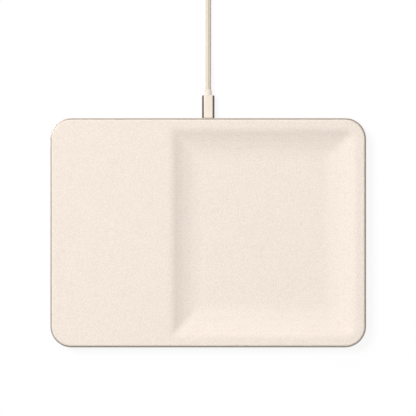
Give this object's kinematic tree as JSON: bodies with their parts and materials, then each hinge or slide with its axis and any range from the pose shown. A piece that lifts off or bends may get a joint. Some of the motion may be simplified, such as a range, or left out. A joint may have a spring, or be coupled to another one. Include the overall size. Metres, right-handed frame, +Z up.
{
  "type": "charging station organizer",
  "caption": "Low leather-covered tray with a flat wireless charging pad, a concave valet recess beside it and a detachable cable at the back.",
  "frame": {"origin": "centre of the tray's outline, on the surface it stands on", "axes": "+X to the right along the tray's width, +Y to the back, where the cable leaves, +Z up"},
  "size_m": [0.245, 0.3578, 0.015],
  "materials": {
    "leather": "fine pebble grain, bone",
    "moulding": "fine moulded texture",
    "base_moulding": "fine moulded texture",
    "rim_metal": "satin, warm grey anodised",
    "silicone": "matte",
    "screw_steel": "zinc plated",
    "socket_steel": "drawn",
    "ferrite": "sintered, dark grey",
    "copper_winding": "enamelled copper wire",
    "circuit_board": "green solder mask",
    "chip_plastic": "moulded epoxy",
    "ceramic": "fired ceramic",
    "wire_insulation": "satin",
    "plug_metal": "satin, pale champagne anodised",
    "collar_plastic": "matte",
    "braid": "fine braid",
    "strap": "woven hook-and-loop"
  },
  "bodies": {
    "tray": {"leather_cover": "leather", "tray_shell": "moulding", "metal_rim": "rim_metal", "base_plate": "base_moulding", "base_pad": "silicone", "base_screws": "screw_steel", "coil_holder": "moulding", "holder_screws": "screw_steel", "ferrite_sheet": "ferrite", "coil_front": "copper_winding", "coil_middle": "copper_winding", "coil_back": "copper_winding", "coil_leads": "copper_winding", "main_board": "circuit_board", "board_screws": "screw_steel", "controller_chip": "chip_plastic", "bridge_transistors": "chip_plastic", "resonant_capacitors": "ceramic", "power_inductor": "ferrite", "port_board": "circuit_board", "port_screws": "screw_steel", "port_shell": "socket_steel", "port_tongue": "chip_plastic", "port_leads": "wire_insulation"},
    "cable": {"plug_tip": "socket_steel", "plug_body": "plug_metal", "plug_collar": "collar_plastic", "cord_run": "braid", "cord_coil": "braid", "cord_tail": "braid", "cord_tie": "strap", "far_plug_collar": "collar_plastic", "far_plug_body": "plug_metal", "far_plug_tip": "socket_steel"}
  },
  "joints": [
    {"name": "plug_slide", "type": "slide", "parent": "tray", "child": "cable", "axis": [0, 1, 0], "range_m": [0, 0.012]}
  ]
}
